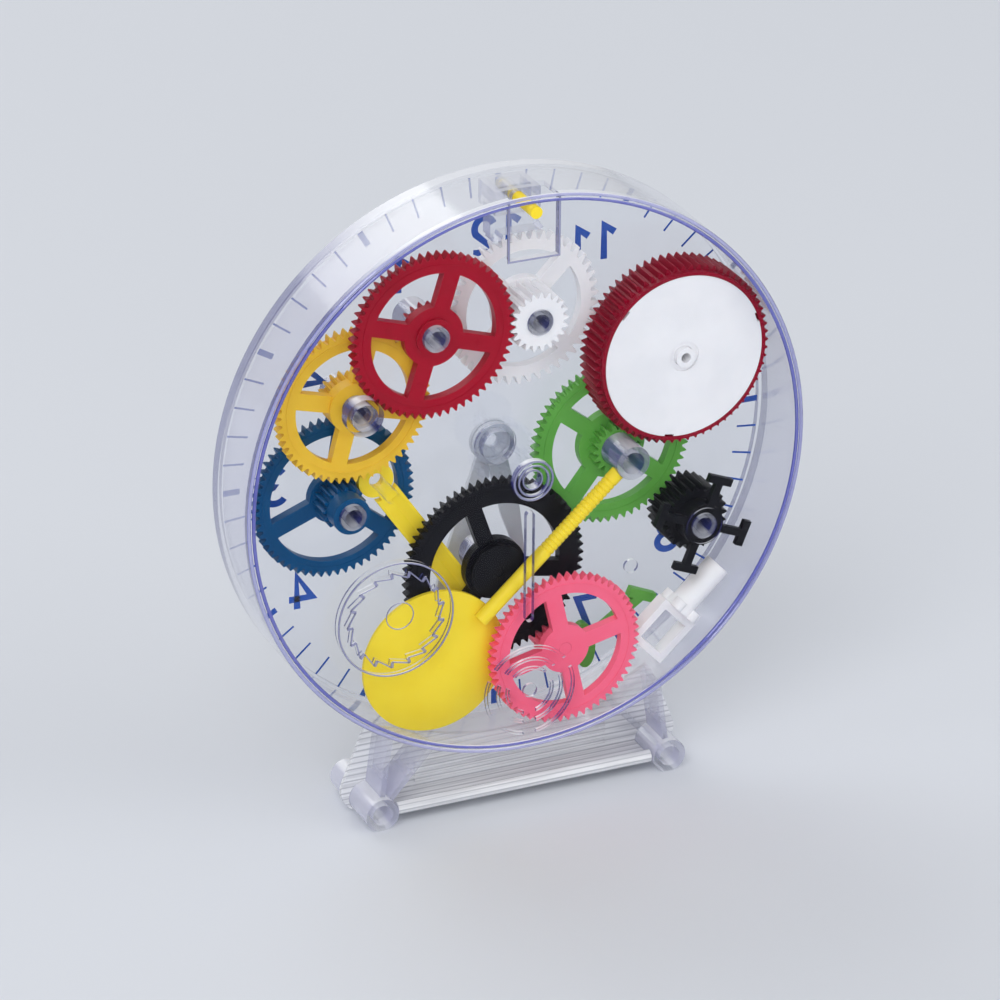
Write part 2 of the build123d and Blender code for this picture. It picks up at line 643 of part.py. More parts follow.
# Blue gear: wheel by the dial, long pinion and hub towards the back
with BuildPart() as blue_gear:
    blue_windows = (pitch_radius(BLUE_TEETH) - BLUE_RIM_WIDTH, HUB_RADIUS, *BLUE_SPOKES)
    toothed(BLUE, BLUE_TEETH, LEVEL_ONE, LEVEL_ONE_END, BLUE_PHASE, bore=BORE, windows=blue_windows)
    toothed(BLUE, BLUE_PINION_TEETH, BLUE_PINION_LEVEL, LEVEL_ONE, 0, bore=BORE)
    tube(BLUE, BLUE_HUB_RADIUS, BORE, BLUE_HUB_LEVEL, BLUE_PINION_LEVEL)
write(blue_gear, "blue_gear")

# Yellow gear: wheel in the middle, pinion towards the dial
YELLOW_END = YELLOW_LEVEL + GEAR_FACE
with BuildPart() as yellow_gear:
    yellow_windows = (pitch_radius(YELLOW_TEETH) - RIM_WIDTH, HUB_RADIUS, *YELLOW_SPOKES)
    toothed(YELLOW, YELLOW_TEETH, YELLOW_LEVEL, YELLOW_END, YELLOW_PHASE, bore=BORE, windows=yellow_windows)
    toothed(YELLOW, YELLOW_PINION_TEETH, YELLOW_END, LEVEL_ONE_END, YELLOW_PINION_PHASE, bore=BORE)
    tube(YELLOW, HUB_RADIUS, BORE, YELLOW_HUB_LEVEL, YELLOW_LEVEL)
write(yellow_gear, "yellow_gear")

# Red gear: wheel near the back, pinion at the yellow wheel's level
RED_END = RED_LEVEL + GEAR_FACE
with BuildPart() as red_gear:
    red_windows = (pitch_radius(RED_TEETH) - RIM_WIDTH, RED_HUB_RADIUS, *RED_SPOKES)
    toothed(RED, RED_TEETH, RED_LEVEL, RED_END, RED_PHASE, bore=BORE, windows=red_windows)
    toothed(RED, RED_PINION_TEETH, RED_END, RED_PINION_END, RED_PINION_PHASE, bore=BORE)
    tube(RED, POST_FOOT_RADIUS, BORE, RED_HUB_LEVEL, RED_LEVEL)
write(red_gear, "red_gear")

# White escape wheel of pointed teeth, with its long pinion
with BuildPart() as escape_wheel:
    escape_root = ESCAPE_RADIUS - ESCAPE_TOOTH_HEIGHT
    with BuildSketch(face_at(LEVEL_ONE, WHITE)) as escape_profile:
        points = []
        for tooth in range(ESCAPE_TEETH):
            for share, radius in ESCAPE_TOOTH:
                turn = (tooth + share) * 360 / ESCAPE_TEETH
                points.append(polar(CENTRE, turn, escape_root + radius * ESCAPE_TOOTH_HEIGHT))
        with BuildLine() as escape_line:
            Polyline(*points, close=True)
        make_face()
        Circle(BORE, mode=Mode.SUBTRACT)
        escape_windows = (escape_root - ESCAPE_RIM_WIDTH, ESCAPE_HUB_RADIUS, *ESCAPE_SPOKES)
        add(spoke_windows(*escape_windows), mode=Mode.SUBTRACT)
    extrude(escape_profile.sketch, amount=GEAR_FACE)
    toothed(WHITE, WHITE_PINION_TEETH, RED_LEVEL - FACE_MARGIN, LEVEL_ONE, WHITE_PHASE, bore=BORE)
write(escape_wheel, "escape_wheel")

# Green gear: wheel by the dial, pinion under the barrel's teeth
GREEN_BORE = GREEN_TUBE_RADIUS + RUNNING_CLEARANCE
with BuildPart() as green_gear:
    green_windows = (pitch_radius(GREEN_TEETH) - RIM_WIDTH, GREEN_HUB_RADIUS, *GREEN_SPOKES)
    toothed(GREEN, GREEN_TEETH, LEVEL_ONE, LEVEL_ONE_END, GREEN_PHASE, bore=GREEN_BORE, windows=green_windows)
    toothed(GREEN, GREEN_PINION_TEETH, GREEN_PINION_LEVEL, LEVEL_ONE, GREEN_PINION_PHASE, bore=GREEN_BORE)
write(green_gear, "green_gear")

# Black gear with its wide closed hub
BLACK_END = BLACK_LEVEL + GEAR_FACE
with BuildPart() as black_gear:
    black_windows = (pitch_radius(BLACK_TEETH) - BLACK_RIM_WIDTH, BLACK_HUB_RADIUS, *BLACK_SPOKES)
    toothed(BLACK, BLACK_TEETH, BLACK_LEVEL, BLACK_END, BLACK_PHASE, bore=BORE, windows=black_windows)
    round_bar(BLACK, BLACK_HUB_RADIUS, BLACK_HUB_STEP, BLACK_LEVEL)
    round_bar(BLACK, BLACK_CAP_RADIUS, BLACK_HUB_LEVEL, BLACK_HUB_STEP)
    dimple_end = BLACK_HUB_LEVEL + BLACK_DIMPLE_DEPTH
    round_bar(BLACK, BLACK_DIMPLE_RADIUS, BLACK_HUB_LEVEL, dimple_end, Mode.SUBTRACT)
    round_bar(BLACK, BORE, BLACK_POST_END - END_SHAKE, BLACK_LEVEL, Mode.SUBTRACT)
write(black_gear, "black_gear")

# Pink gear: wheel under the back plate, pinion at the black wheel's level
PINK_END = PINK_LEVEL + PINK_FACE
PINK_BORE = PINK_POST_RADIUS + RUNNING_CLEARANCE
with BuildPart() as pink_gear:
    pink_windows = (pitch_radius(PINK_TEETH) - RIM_WIDTH, HUB_RADIUS, *PINK_SPOKES)
    toothed(PINK, PINK_TEETH, PINK_LEVEL, PINK_END, 0, bore=PINK_BORE, windows=pink_windows)
    toothed(PINK, PINK_PINION_TEETH, PINK_END, PINK_PINION_END, PINK_PHASE, bore=PINK_BORE)
write(pink_gear, "pink_gear")

# Winding pinion with four springy arms that end in crossbars
with BuildPart() as winding_pinion:
    toothed(WINDER, WINDER_TEETH, WINDER_PINION_LEVEL, LEVEL_ONE_END, WINDER_PHASE, bore=BORE)
    tube(WINDER, WINDER_NECK_RADIUS, BORE, WINDER_ARM_LEVEL, WINDER_PINION_LEVEL)
    with BuildSketch(face_at(WINDER_ARM_LEVEL, WINDER)) as arms:
        with PolarLocations(WINDER_ARM_REACH / 2, WINDER_ARM_COUNT, start_angle=WINDER_ARM_DIRECTION):
            Rectangle(WINDER_ARM_REACH, WINDER_ARM_WIDTH)
        tee_reach = WINDER_ARM_REACH - WINDER_ARM_WIDTH / 2
        with PolarLocations(tee_reach, WINDER_ARM_COUNT, start_angle=WINDER_ARM_DIRECTION):
            Rectangle(WINDER_ARM_WIDTH, WINDER_TEE_LENGTH)
        Circle(BORE, mode=Mode.SUBTRACT)
    extrude(arms.sketch, amount=WINDER_ARM_FACE)
write(winding_pinion, "winding_pinion")

# Spring barrel: toothed drum, cover, spring
BARREL_END = BARREL_LEVEL + BARREL_FACE
BARREL_TOOTH_LEVEL = BARREL_LEVEL + BARREL_RIM_HEIGHT
BARREL_BORE = BARREL_POST_RADIUS + RUNNING_CLEARANCE
BARREL_ROOM = BARREL_COVER_RADIUS - BARREL_LEDGE
COVER_SEAT = BARREL_COVER_RADIUS + RUNNING_CLEARANCE
COVER_END = BARREL_LEVEL + BARREL_COVER_THICKNESS
BARREL_ROOT = pitch_radius(BARREL_TEETH) - DEDENDUM * MODULE
with BuildPart() as barrel_drum:
    floor_level = BARREL_END - BARREL_FLOOR
    toothed(BARREL, BARREL_TEETH, BARREL_TOOTH_LEVEL, floor_level, BARREL_PHASE, bore=BARREL_ROOM)
    toothed(BARREL, BARREL_TEETH, floor_level, BARREL_END, BARREL_PHASE, bore=BARREL_BORE)
    tube(BARREL, BARREL_ROOT, COVER_SEAT, BARREL_LEVEL, COVER_END)
    tube(BARREL, BARREL_ROOT, BARREL_ROOM, COVER_END, BARREL_TOOTH_LEVEL)
write(barrel_drum, "barrel_drum")

with BuildPart() as barrel_cover:
    with BuildSketch(face_at(BARREL_LEVEL, BARREL)) as cover_disc:
        Circle(BARREL_COVER_RADIUS)
        with PolarLocations(BARREL_COVER_RADIUS, COVER_NOTCH_COUNT, start_angle=COVER_NOTCH_DIRECTION):
            Rectangle(COVER_NOTCH_DEPTH, COVER_NOTCH_WIDTH, mode=Mode.SUBTRACT)
        Circle(BARREL_BORE, mode=Mode.SUBTRACT)
    extrude(cover_disc.sketch, amount=BARREL_COVER_THICKNESS)
    recess_end = BARREL_LEVEL + COVER_RECESS_DEPTH
    round_bar(BARREL, COVER_RECESS_RADIUS, BARREL_LEVEL, recess_end, Mode.SUBTRACT)
write(barrel_cover, "barrel_cover")

# Spiral spring of half turns about two centres, each a quarter pitch from the axis
SPRING_NEAR = COVER_END + END_SHAKE
SPRING_FAR = BARREL_END - BARREL_FLOOR - END_SHAKE
SPRING_LAST_RADIUS = BARREL_ROOM - SEAT_GAP - SPRING_THICKNESS / 2 - SPRING_PITCH / 4
SPRING_FIRST_RADIUS = SPRING_LAST_RADIUS - (SPRING_HALF_TURNS - 1) * SPRING_PITCH / 2
with BuildPart() as mainspring:
    with BuildSketch(face_at(SPRING_NEAR, BARREL)) as strip:
        for half_turn in range(SPRING_HALF_TURNS):
            side = 1 if half_turn % 2 == 0 else -1
            middle = side * SPRING_PITCH / 4
            radius = SPRING_FIRST_RADIUS + half_turn * SPRING_PITCH / 2
            inner = radius - SPRING_THICKNESS / 2
            outer = radius + SPRING_THICKNESS / 2
            with BuildLine() as half_ring:
                ThreePointArc((middle + outer, 0), (middle, side * outer), (middle - outer, 0))
                Line((middle - outer, 0), (middle - inner, 0))
                ThreePointArc((middle - inner, 0), (middle, side * inner), (middle + inner, 0))
                Line((middle + inner, 0), (middle + outer, 0))
            make_face()
    extrude(strip.sketch, amount=SPRING_FAR - SPRING_NEAR)
print("mainspring gap between turns", round(SPRING_PITCH - SPRING_THICKNESS, 2), "mm")
write(mainspring, "mainspring")

# Centre arbor: bearing end, black wheel's pinion, green wheel's pinion, cannon pinion, hand seat
CENTRE_LEVEL = LEVEL_ONE - FACE_MARGIN
CENTRE_END = LEVEL_ONE_END + FACE_MARGIN
HOUR_WHEEL_LEVEL = MOTION_LEVEL + MOTION_FACE
with BuildPart() as centre_arbor:
    round_bar(CENTRE, ARBOR_BACK_RADIUS, -BOSS_HEIGHT / 2, CENTRE_LEVEL)
    toothed(CENTRE, CANNON_TEETH, BLACK_LEVEL - FACE_MARGIN, BLACK_END + FACE_MARGIN, CANNON_PHASE)
    toothed(CENTRE, CENTRE_TEETH, CENTRE_LEVEL, CENTRE_END, CENTRE_PHASE)
    toothed(CENTRE, MOTION_CANNON_TEETH, CENTRE_END, HOUR_WHEEL_LEVEL - FACE_MARGIN, 0, MOTION_MODULE)
    round_bar(CENTRE, ARBOR_FRONT_RADIUS, HOUR_WHEEL_LEVEL - FACE_MARGIN, FRONT_REACH)
write(centre_arbor, "centre_arbor")

# Minute wheel and hour wheel behind the dial
with BuildPart() as minute_wheel:
    minute_bore = MINUTE_POST_RADIUS + RUNNING_CLEARANCE
    wheel_end = HOUR_WHEEL_LEVEL - FACE_MARGIN
    toothed(MINUTE, MINUTE_WHEEL_TEETH, MOTION_LEVEL, wheel_end, MINUTE_PHASE, MOTION_MODULE, minute_bore)
    pinion_end = HOUR_WHEEL_LEVEL + MOTION_FACE
    toothed(MINUTE, MINUTE_PINION_TEETH, wheel_end, pinion_end, 0, HOUR_MODULE, minute_bore)
write(minute_wheel, "minute_wheel")

with BuildPart() as hour_wheel:
    pipe_bore = ARBOR_FRONT_RADIUS + RUNNING_CLEARANCE
    pipe_start = HOUR_WHEEL_LEVEL + MOTION_FACE
    toothed(CENTRE, HOUR_WHEEL_TEETH, HOUR_WHEEL_LEVEL, pipe_start, HOUR_PHASE, HOUR_MODULE, pipe_bore)
    tube(CENTRE, HOUR_PIPE_RADIUS, pipe_bore, pipe_start, HOUR_HAND_LEVEL + HAND_THICKNESS)
write(hour_wheel, "hour_wheel")


def hand(turn, length, hub_bore, level):
    """Builds a tapered hand that points so many degrees past twelve."""
    side = HAND_WIDTH / 2
    tip = HAND_TIP_WIDTH / 2
    shoulder = length * HAND_SHOULDER
    with BuildPart() as pointer:
        with BuildSketch(face_at(level, CENTRE, -turn)) as outline:
            with BuildLine() as blade:
                left = [(-side, 0), (-side, shoulder), (-tip, length)]
                right = [(tip, length), (side, shoulder), (side, 0)]
                Polyline(*left, *right, close=True)
            make_face()
            Circle(HAND_HUB_RADIUS)
            Circle(hub_bore, mode=Mode.SUBTRACT)
        extrude(amount=HAND_THICKNESS)
    return pointer


MINUTE_TURN = 6 * HAND_MINUTES
HOUR_TURN = 30 * (HAND_HOUR + HAND_MINUTES / 60)
hour_bore = HOUR_PIPE_RADIUS + RUNNING_CLEARANCE
minute_hand_bore = ARBOR_FRONT_RADIUS + RUNNING_CLEARANCE
write(hand(HOUR_TURN, HOUR_HAND_LENGTH, hour_bore, HOUR_HAND_LEVEL), "hour_hand")
write(hand(MINUTE_TURN, MINUTE_HAND_LENGTH, minute_hand_bore, MINUTE_HAND_LEVEL), "minute_hand")

# Pendulum: ribbed rod with a hollowed end on the green tube, domed bob with a socket for the rod
SWING = (BOB[0] - GREEN[0], BOB[1] - GREEN[1])
SWING_LENGTH = hypot(*SWING)
SWING_DIRECTION = degrees(atan2(SWING[1], SWING[0]))
ROD_START = GREEN_TUBE_RADIUS + RUNNING_CLEARANCE
ROD_END = SWING_LENGTH - BOB_RADIUS + ROD_SOCKET
rod_origin = (GREEN[0], MID_DEPTH - ROD_DEPTH, CENTRE_HEIGHT + GREEN[1])
rod_along = (SWING[0] / SWING_LENGTH, 0, SWING[1] / SWING_LENGTH)
rod_plane = Plane(origin=rod_origin, x_dir=rod_along, z_dir=(0, -1, 0))
with BuildPart() as pendulum_rod:
    with BuildSketch(rod_plane) as rod_profile:
        rod_outline = [(ROD_START - ROD_RADIUS, 0), (ROD_START - ROD_RADIUS, ROD_RADIUS)]
        for groove in range(ROD_GROOVE_COUNT):
            start = ROD_START + ROD_PLAIN + groove * ROD_GROOVE_PITCH
            rod_outline.append((start, ROD_RADIUS))
            rod_outline.append((start + ROD_GROOVE_PITCH / 4, ROD_RADIUS - ROD_GROOVE))
            rod_outline.append((start + ROD_GROOVE_PITCH / 2, ROD_RADIUS))
        rod_outline.append((ROD_END, ROD_RADIUS))
        rod_outline.append((ROD_END, 0))
        with BuildLine() as rod_line:
            Polyline(*rod_outline, close=True)
        make_face()
    revolve(rod_profile.sketch, axis=Axis(rod_origin, rod_along))
    round_bar(GREEN, ROD_START, 0, CASE_DEPTH, Mode.SUBTRACT)
write(pendulum_rod, "pendulum_rod")

bob_top = (BOB[0], MID_DEPTH - BOB_LEVEL, CENTRE_HEIGHT + BOB[1])
bob_plane = Plane(origin=bob_top, x_dir=(1, 0, 0), z_dir=(0, 0, 1))
BOB_BACK = BOB_DOME + BOB_EDGE
with BuildPart() as pendulum_bob:
    with BuildSketch(bob_plane) as bob_profile:
        with BuildLine() as bob_line:
            dome_radius = (BOB_RADIUS**2 + BOB_DOME**2) / (2 * BOB_DOME)
            RadiusArc((0, 0), (BOB_RADIUS, -BOB_DOME), dome_radius)
            Polyline((BOB_RADIUS, -BOB_DOME), (BOB_RADIUS, -BOB_BACK), (0, -BOB_BACK), (0, 0))
        make_face()
    bob_centre = (BOB[0], 0, CENTRE_HEIGHT + BOB[1])
    revolve(bob_profile.sketch, axis=Axis(bob_centre, (0, 1, 0)))
    socket_floor = rod_plane.origin + rod_plane.x_dir * ROD_END
    with BuildSketch(Plane(origin=socket_floor, z_dir=rod_plane.x_dir * -1)) as socket:
        Circle(ROD_RADIUS + RUNNING_CLEARANCE)
    extrude(socket.sketch, amount=2 * ROD_SOCKET, mode=Mode.SUBTRACT)
write(pendulum_bob, "pendulum_bob")

# Anchor pin through the notch, anchor over the escape wheel, bracket that bears the pin
with BuildPart() as anchor_pin:
    round_bar(PIN, PIN_RADIUS, -PIN_PROUD, DIAL_INNER - END_SHAKE)
write(anchor_pin, "anchor_pin")

TO_PIN = degrees(atan2(PIN[1] - WHITE[1], PIN[0] - WHITE[0]))
PALLETS = [polar(WHITE, TO_PIN + side * PALLET_SPREAD, ESCAPE_RADIUS + PALLET_CLEARANCE) for side in (-1, 1)]
with BuildPart() as anchor:
    with BuildSketch(face_at(ANCHOR_LEVEL, PIN)) as anchor_outline:
        Circle(ANCHOR_HUB_RADIUS)
        Rectangle(ANCHOR_NECK_WIDTH, ANCHOR_BOTTOM_DROP, align=(Align.CENTER, Align.MAX))
        with Locations((0, -ANCHOR_TOP_DROP)):
            Rectangle(ANCHOR_WIDTH, ANCHOR_BOTTOM_DROP - ANCHOR_TOP_DROP, align=(Align.CENTER, Align.MAX))
        for pallet in PALLETS:
            reach = (pallet[0] - PIN[0], pallet[1] - PIN[1])
            with Locations((reach[0] / 2, reach[1] / 2)):
                Rectangle(hypot(*reach), ANCHOR_ARM_WIDTH, rotation=degrees(atan2(reach[1], reach[0])))
        with Locations((WHITE[0] - PIN[0], WHITE[1] - PIN[1])):
            Circle(ESCAPE_RADIUS + PALLET_CLEARANCE, mode=Mode.SUBTRACT)
        Circle(PIN_RADIUS + RUNNING_CLEARANCE, mode=Mode.SUBTRACT)
    extrude(anchor_outline.sketch, amount=ANCHOR_FACE)
write(anchor, "anchor")

with BuildPart() as anchor_bracket:
    bracket_bottom = PIN_UP - BRACKET_DROP
    with BuildSketch(face_at(BRACKET_LEVEL)) as bracket_outline:
        Circle(DRUM_INNER - SEAT_GAP)
        with Locations((0, bracket_bottom)):
            Rectangle(BRACKET_WIDTH, DRUM_RADIUS, align=(Align.CENTER, Align.MIN), mode=Mode.INTERSECT)
        with Locations(PIN):
            Circle(PIN_RADIUS + RUNNING_CLEARANCE, mode=Mode.SUBTRACT)
    extrude(bracket_outline.sketch, amount=DIAL_INNER - BRACKET_LEVEL)
    with BuildSketch(face_at(BRACKET_LEVEL + BRACKET_WALL)) as bracket_room:
        with Locations((0, bracket_bottom)):
            Rectangle(BRACKET_WIDTH - 2 * BRACKET_WALL, DRUM_RADIUS, align=(Align.CENTER, Align.MIN))
            Rectangle(BRACKET_WIDTH, BRACKET_DROP - BRACKET_SIDE_DROP, align=(Align.CENTER, Align.MIN))
    extrude(bracket_room.sketch, amount=DIAL_INNER - BRACKET_LEVEL - 2 * BRACKET_WALL, mode=Mode.SUBTRACT)
write(anchor_bracket, "anchor_bracket")

# Pendulum hanger: loop and grooved bar
with BuildPart() as pendulum_hanger:
    hanger_plane = face_at(HANGER_LEVEL, hanger, HANGER_DIRECTION)
    with BuildSketch(hanger_plane) as hanger_outline:
        Rectangle(HANGER_LENGTH, HANGER_WIDTH, align=(Align.MIN, Align.CENTER))
        Circle(HANGER_LOOP_RADIUS + HANGER_LOOP_WALL, mode=Mode.SUBTRACT)
        Rectangle(HANGER_LOOP_RADIUS + HANGER_NECK_LENGTH, HANGER_NECK_WIDTH, align=(Align.MIN, Align.CENTER))
        Circle(HANGER_LOOP_RADIUS)
        Circle(HANGER_LOOP_BORE, mode=Mode.SUBTRACT)
    extrude(hanger_outline.sketch, amount=HANGER_THICKNESS)
    bar_end = hanger_plane.origin + hanger_plane.x_dir * HANGER_LENGTH
    end_plane = Plane(origin=bar_end, x_dir=hanger_plane.y_dir, z_dir=hanger_plane.x_dir * -1)
    with BuildSketch(end_plane) as groove:
        with BuildLine() as vee:
            half_groove = HANGER_WIDTH / 2 - HANGER_LOOP_WALL / 2
            Polyline((-half_groove, 0), (0, -HANGER_GROOVE), (half_groove, 0), close=True)
        make_face()
    extrude(groove.sketch, amount=HANGER_LENGTH - HANGER_LOOP_RADIUS - HANGER_NECK_LENGTH, mode=Mode.SUBTRACT)
write(pendulum_hanger, "pendulum_hanger")

# Winding key: socketed tube, lobed flange, open bow
KEY_LENGTH = KEY_TUBE_LENGTH + KEY_FLANGE_THICKNESS + KEY_BOW_LENGTH
key_corner = polar(CENTRE, KEY_CORNER_DIRECTION, DRUM_INNER - SEAT_GAP)
key_end = polar(key_corner, KEY_DIRECTION + 90, KEY_BOW_WIDTH / 2)
key_start = polar(key_end, KEY_DIRECTION, -KEY_LENGTH)
key_along = Vector(cos(radians(KEY_DIRECTION)), 0, sin(radians(KEY_DIRECTION)))
key_origin = Vector(key_start[0], MID_DEPTH - KEY_MID_DEPTH, CENTRE_HEIGHT + key_start[1])
with BuildPart() as winding_key:
    with BuildSketch(Plane(origin=key_origin, x_dir=(0, 1, 0), z_dir=key_along)) as key_tube:
        Circle(KEY_TUBE_RADIUS)
    extrude(key_tube.sketch, amount=KEY_TUBE_LENGTH)
    flange_origin = key_origin + key_along * KEY_TUBE_LENGTH
    with BuildSketch(Plane(origin=flange_origin, x_dir=(0, 1, 0), z_dir=key_along)) as key_flange:
        Circle(KEY_FLANGE_RADIUS)
        with PolarLocations(KEY_FLANGE_RADIUS, KEY_LOBE_COUNT, start_angle=KEY_LOBE_DIRECTION):
            Circle(KEY_LOBE_RADIUS)
    extrude(key_flange.sketch, amount=KEY_FLANGE_THICKNESS)
    bow_origin = polar(key_start, KEY_DIRECTION, KEY_TUBE_LENGTH + KEY_FLANGE_THICKNESS)
    bow_plane = face_at(KEY_MID_DEPTH - KEY_BOW_THICKNESS / 2, bow_origin, KEY_DIRECTION)
    with BuildSketch(bow_plane) as key_bow:
        Rectangle(KEY_BOW_LENGTH, KEY_BOW_WIDTH, align=(Align.MIN, Align.CENTER))
        with Locations((KEY_BOW_LENGTH / 2, 0)):
            window = (KEY_BOW_LENGTH - 2 * KEY_BOW_WALL, KEY_BOW_WIDTH - 2 * KEY_BOW_WALL)
            Rectangle(*window, mode=Mode.SUBTRACT)
    extrude(key_bow.sketch, amount=KEY_BOW_THICKNESS)
    with BuildSketch(Plane(origin=key_origin, x_dir=(0, 1, 0), z_dir=key_along)) as key_socket:
        Rectangle(KEY_SOCKET_SIDE, KEY_SOCKET_SIDE)
    extrude(key_socket.sketch, amount=KEY_SOCKET_DEPTH, mode=Mode.SUBTRACT)
write(winding_key, "winding_key")

# Crutch: crossbar, stem and lobe, flat on the dial
with BuildPart() as crutch:
    crutch_bar = (CRUTCH_RIGHT, CRUTCH_UP)
    lobe = polar(CENTRE, CRUTCH_DIRECTION, CRUTCH_STEM_LENGTH)
    with BuildSketch(face_at(DIAL_INNER - CRUTCH_THICKNESS, crutch_bar)) as crutch_outline:
        Rectangle(CRUTCH_BAR_WIDTH, CRUTCH_BAR_LENGTH, rotation=CRUTCH_DIRECTION + CRUTCH_BAR_TILT)
        with Locations((lobe[0] / 2, lobe[1] / 2)):
            Rectangle(CRUTCH_STEM_LENGTH, CRUTCH_STEM_WIDTH, rotation=CRUTCH_DIRECTION)
        with Locations(lobe):
            Ellipse(CRUTCH_LOBE_LENGTH / 2, CRUTCH_LOBE_WIDTH / 2, rotation=CRUTCH_LOBE_DIRECTION)
    extrude(crutch_outline.sketch, amount=CRUTCH_THICKNESS)
write(crutch, "crutch")
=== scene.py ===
"""See-through demonstration clock, dressed in clear and coloured plastic, metres.

The dial faces -Y and the flat back, which the camera sees, faces +Y. The dial's centre is above the origin.
"""

import bpy
import numpy as np
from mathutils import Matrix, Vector


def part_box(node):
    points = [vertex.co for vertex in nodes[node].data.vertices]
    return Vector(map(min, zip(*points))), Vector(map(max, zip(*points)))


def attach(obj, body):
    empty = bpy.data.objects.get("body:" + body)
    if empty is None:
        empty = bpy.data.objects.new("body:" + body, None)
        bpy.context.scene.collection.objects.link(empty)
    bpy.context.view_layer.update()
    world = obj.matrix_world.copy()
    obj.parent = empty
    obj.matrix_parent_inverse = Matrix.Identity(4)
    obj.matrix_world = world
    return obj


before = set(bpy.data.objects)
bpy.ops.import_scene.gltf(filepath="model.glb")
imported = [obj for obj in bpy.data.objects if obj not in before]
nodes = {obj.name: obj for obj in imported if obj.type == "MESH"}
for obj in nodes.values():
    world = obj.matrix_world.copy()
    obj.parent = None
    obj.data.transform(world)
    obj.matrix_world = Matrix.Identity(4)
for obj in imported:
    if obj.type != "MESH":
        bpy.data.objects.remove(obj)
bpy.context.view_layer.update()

# Places on the case, in metres
CENTRE_HEIGHT = 0.1053
DIAL_RIM_HEIGHT = 0.002
DIAL_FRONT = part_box("dial_plate")[0].y + DIAL_RIM_HEIGHT
BACK_FACE = 0.0137
HANGER_PEG = (0.0424, CENTRE_HEIGHT + 0.0012)
FOOT_TOP = (0.012, 0.019)

# Dial print: the numbers' places are in millimetres from the centre, and a mark is its two radii and width
INK_BACK = DIAL_FRONT + 0.00002
INK_FRONT = DIAL_FRONT - 0.00006
NUMERAL_HEIGHT = 0.0125
NUMERAL_STROKE = 0.0021
DIGIT_ADVANCE = 0.0083
NUMERAL_PLACES = {
    1: (30.2, 58.3), 2: (57.5, 35.0), 3: (69.4, -0.8), 4: (61.5, -35.8), 5: (33.0, -58.4), 6: (0.0, -66.5),
    7: (-30.2, -60.8), 8: (-56.2, -39.2), 9: (-68.0, 0.0), 10: (-57.5, 35.0), 11: (-30.2, 58.3),
    12: (0.0, 66.7)}
MINUTE_MARK = (0.0790, 0.0853, 0.0006)
FIVE_MINUTE_MARK = (0.0800, 0.0850, 0.0018)

# Lines of the back, in metres: strips along its moulded ratchet teeth and notch, dark with painted refraction
# shade
LINE_FOOT = BACK_FACE - 0.00005
LINE_TOP = BACK_FACE + 0.0003
RATCHET_PLACE = np.array([0.0422, CENTRE_HEIGHT - 0.037])
RATCHET_TEETH = 17
RATCHET_ROOT = 0.0134
RATCHET_TIP = 0.0152
TOOTH_STEP_WIDTH = 0.0009
TOOTH_SLOPE_WIDTH = 0.0004
NOTCH_HALF_WIDTH = 0.0078
NOTCH_LOW = CENTRE_HEIGHT + 0.0684
NOTCH_HIGH = CENTRE_HEIGHT + 0.0866
NOTCH_LINE_WIDTH = 0.0006

# Round beads of the back along its rim, ratchet and boss edges, partly the plastic's own tint and partly
# painted refraction shade and glint, in millimetres: place, radius, thickness, depth behind the back face and
# steps round
RIM_BEAD = ((0, 0), 85.5, 0.55, 0.1, 160)
EDGE_BEAD = ((0, 0), 86.9, 0.55, 0.1, 160)
RATCHET_BEADS = [((42.2, -37.0), 17.8, 0.3, 0.0, 96), ((41.0, -36.0), 4.2, 0.18, 0.0, 48)]
BOSS_BEADS = [((0, 0), 6.0, 0.42, -1.6, 64), ((0, 0), 4.7, 0.32, -1.8, 64), ((0, 0), 3.0, 0.28, -1.0, 64)]
BEAD_STEPS = 10

# Moulded rings of the gears, in millimetres: the body, its axis, the ring's radius and its face's depth
GEAR_RINGS = {
    "red_gear": ("red", (28.0, 46.8), 21.4, 5.8),
    "yellow_gear": ("yellow", (50.71, 27.197), 20.0, 10.5),
    "blue_gear": ("blue", (54.197, -3.405), 21.6, 16.8),
    "green_gear": ("green", (-33.522, -2.285), 21.4, 16.8),
    "black_gear": ("black", (6.902, -31.656), 24.4, 9.5),
    "pink_gear": ("pink", (-12.659, -58.482), 20.6, 2.2),
}
RING_WIDTH = 0.5
RING_SINK = 0.1
RING_RISE = 0.16

# Round marks on the red gear's spokes, in millimetres and degrees
RED_SPOKES = 4
RED_SPOKE_TURN = 17.0
SPOKE_MARK_REACH = 14.5
SPOKE_MARK_RADII = (0.25, 0.95)
SPOKE_MARK_RISE = 0.14

# Noise of the plastics, in grains to the metre
DRIFT_GRAINS = 70.0
CLOUD_GRAINS = 160.0
FLOW_GRAINS = 420.0
STRIP_GRAINS = 900.0
SKIN_GRAINS = 2600.0
APRON_RIB_PITCH = 0.0019


